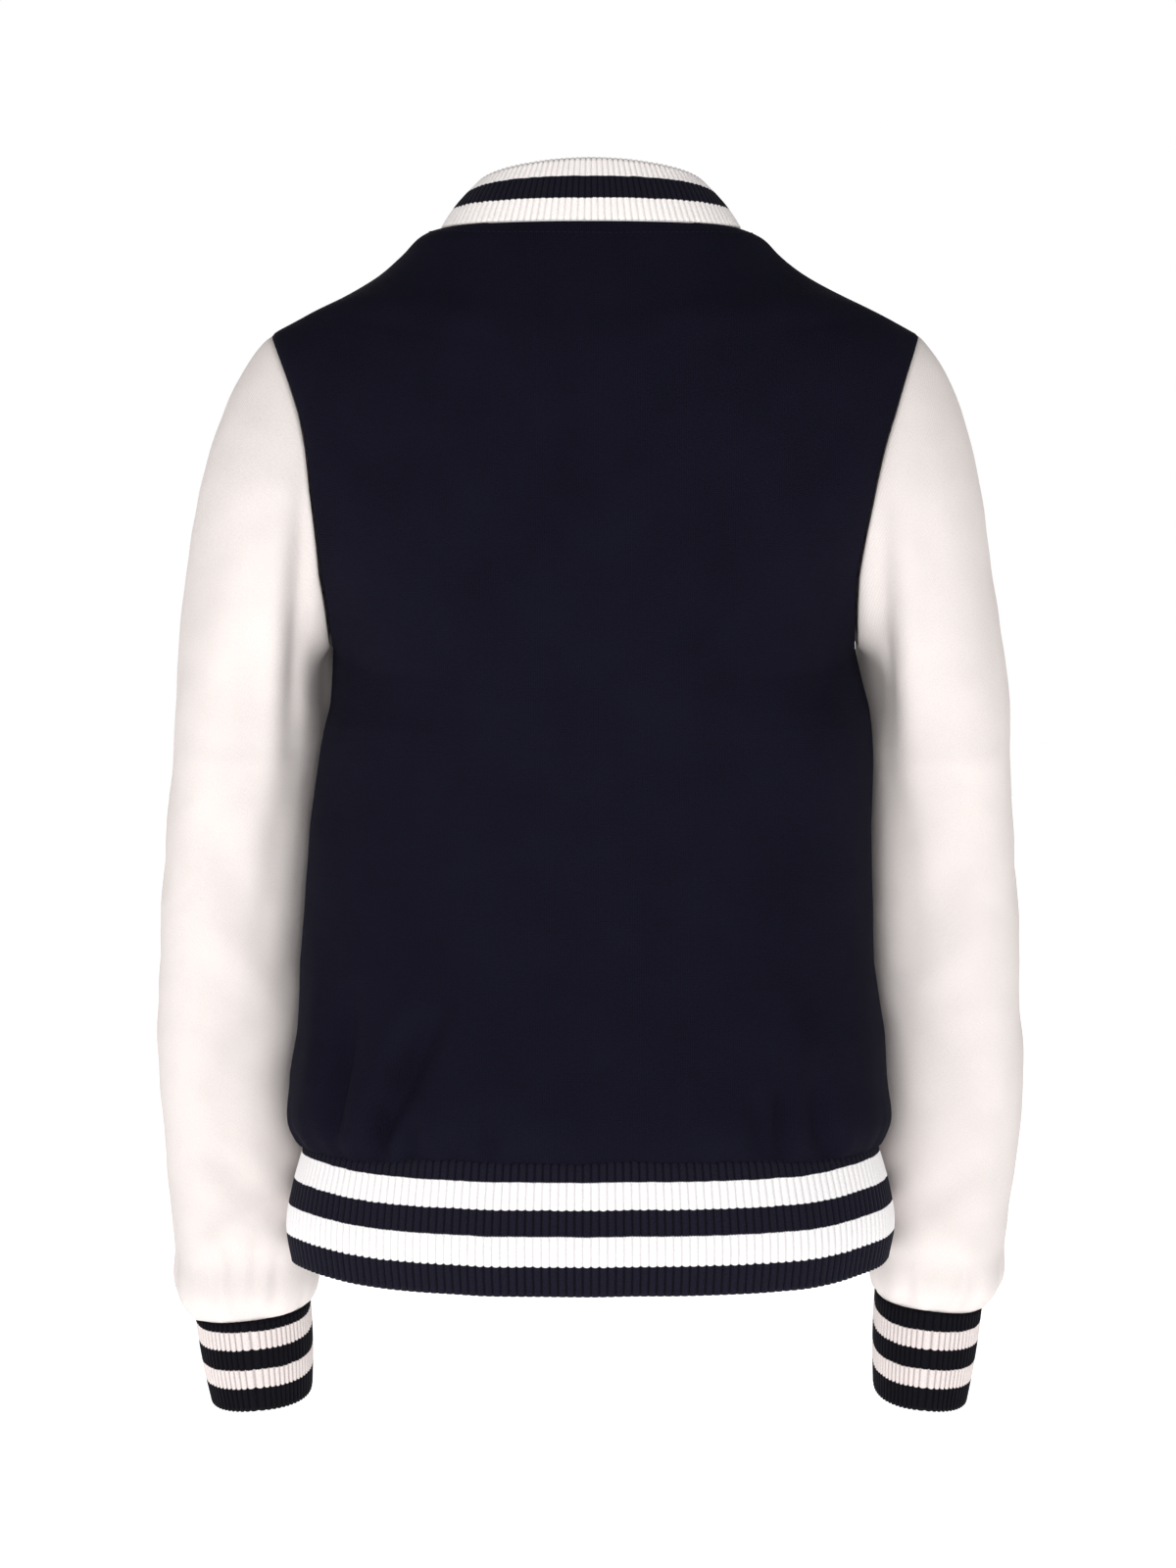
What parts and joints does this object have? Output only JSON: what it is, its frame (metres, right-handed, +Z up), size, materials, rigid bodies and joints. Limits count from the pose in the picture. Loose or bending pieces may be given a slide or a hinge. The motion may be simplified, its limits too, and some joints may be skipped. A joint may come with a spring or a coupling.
{
  "type": "varsity jacket",
  "caption": "Waist-length jacket with a snapped front and a ribbed collar, cuffs and hem, in the hollow form it keeps when worn.",
  "frame": {"origin": "middle of the neck opening, level with the tops of the shoulder seams, where the wearer's neck is", "axes": "+Z up, -Y out of the jacket's front, +X to the wearer's left"},
  "size_m": [0.5116, 0.2323, 0.7383],
  "materials": {
    "navy_fleece": "matt brushed jersey",
    "cream_fleece": "matt brushed jersey",
    "striped_rib": "matt rib knit with cream stripes",
    "snap_metal": "satin nickel"
  },
  "bodies": {
    "root": {"back": "navy_fleece", "front_left": "navy_fleece", "front_right": "navy_fleece", "sleeve_left": "cream_fleece", "sleeve_right": "cream_fleece", "cuff_left": "striped_rib", "cuff_right": "striped_rib", "hem_band": "striped_rib", "collar": "striped_rib", "snap_cap_1": "snap_metal", "snap_cap_2": "snap_metal", "snap_cap_3": "snap_metal", "snap_cap_4": "snap_metal", "snap_cap_5": "snap_metal", "snap_cap_6": "snap_metal", "snap_cap_7": "snap_metal", "snap_ring_1": "snap_metal", "snap_ring_2": "snap_metal", "snap_ring_3": "snap_metal", "snap_ring_4": "snap_metal", "snap_ring_5": "snap_metal", "snap_ring_6": "snap_metal", "snap_ring_7": "snap_metal"}
  },
  "joints": []
}
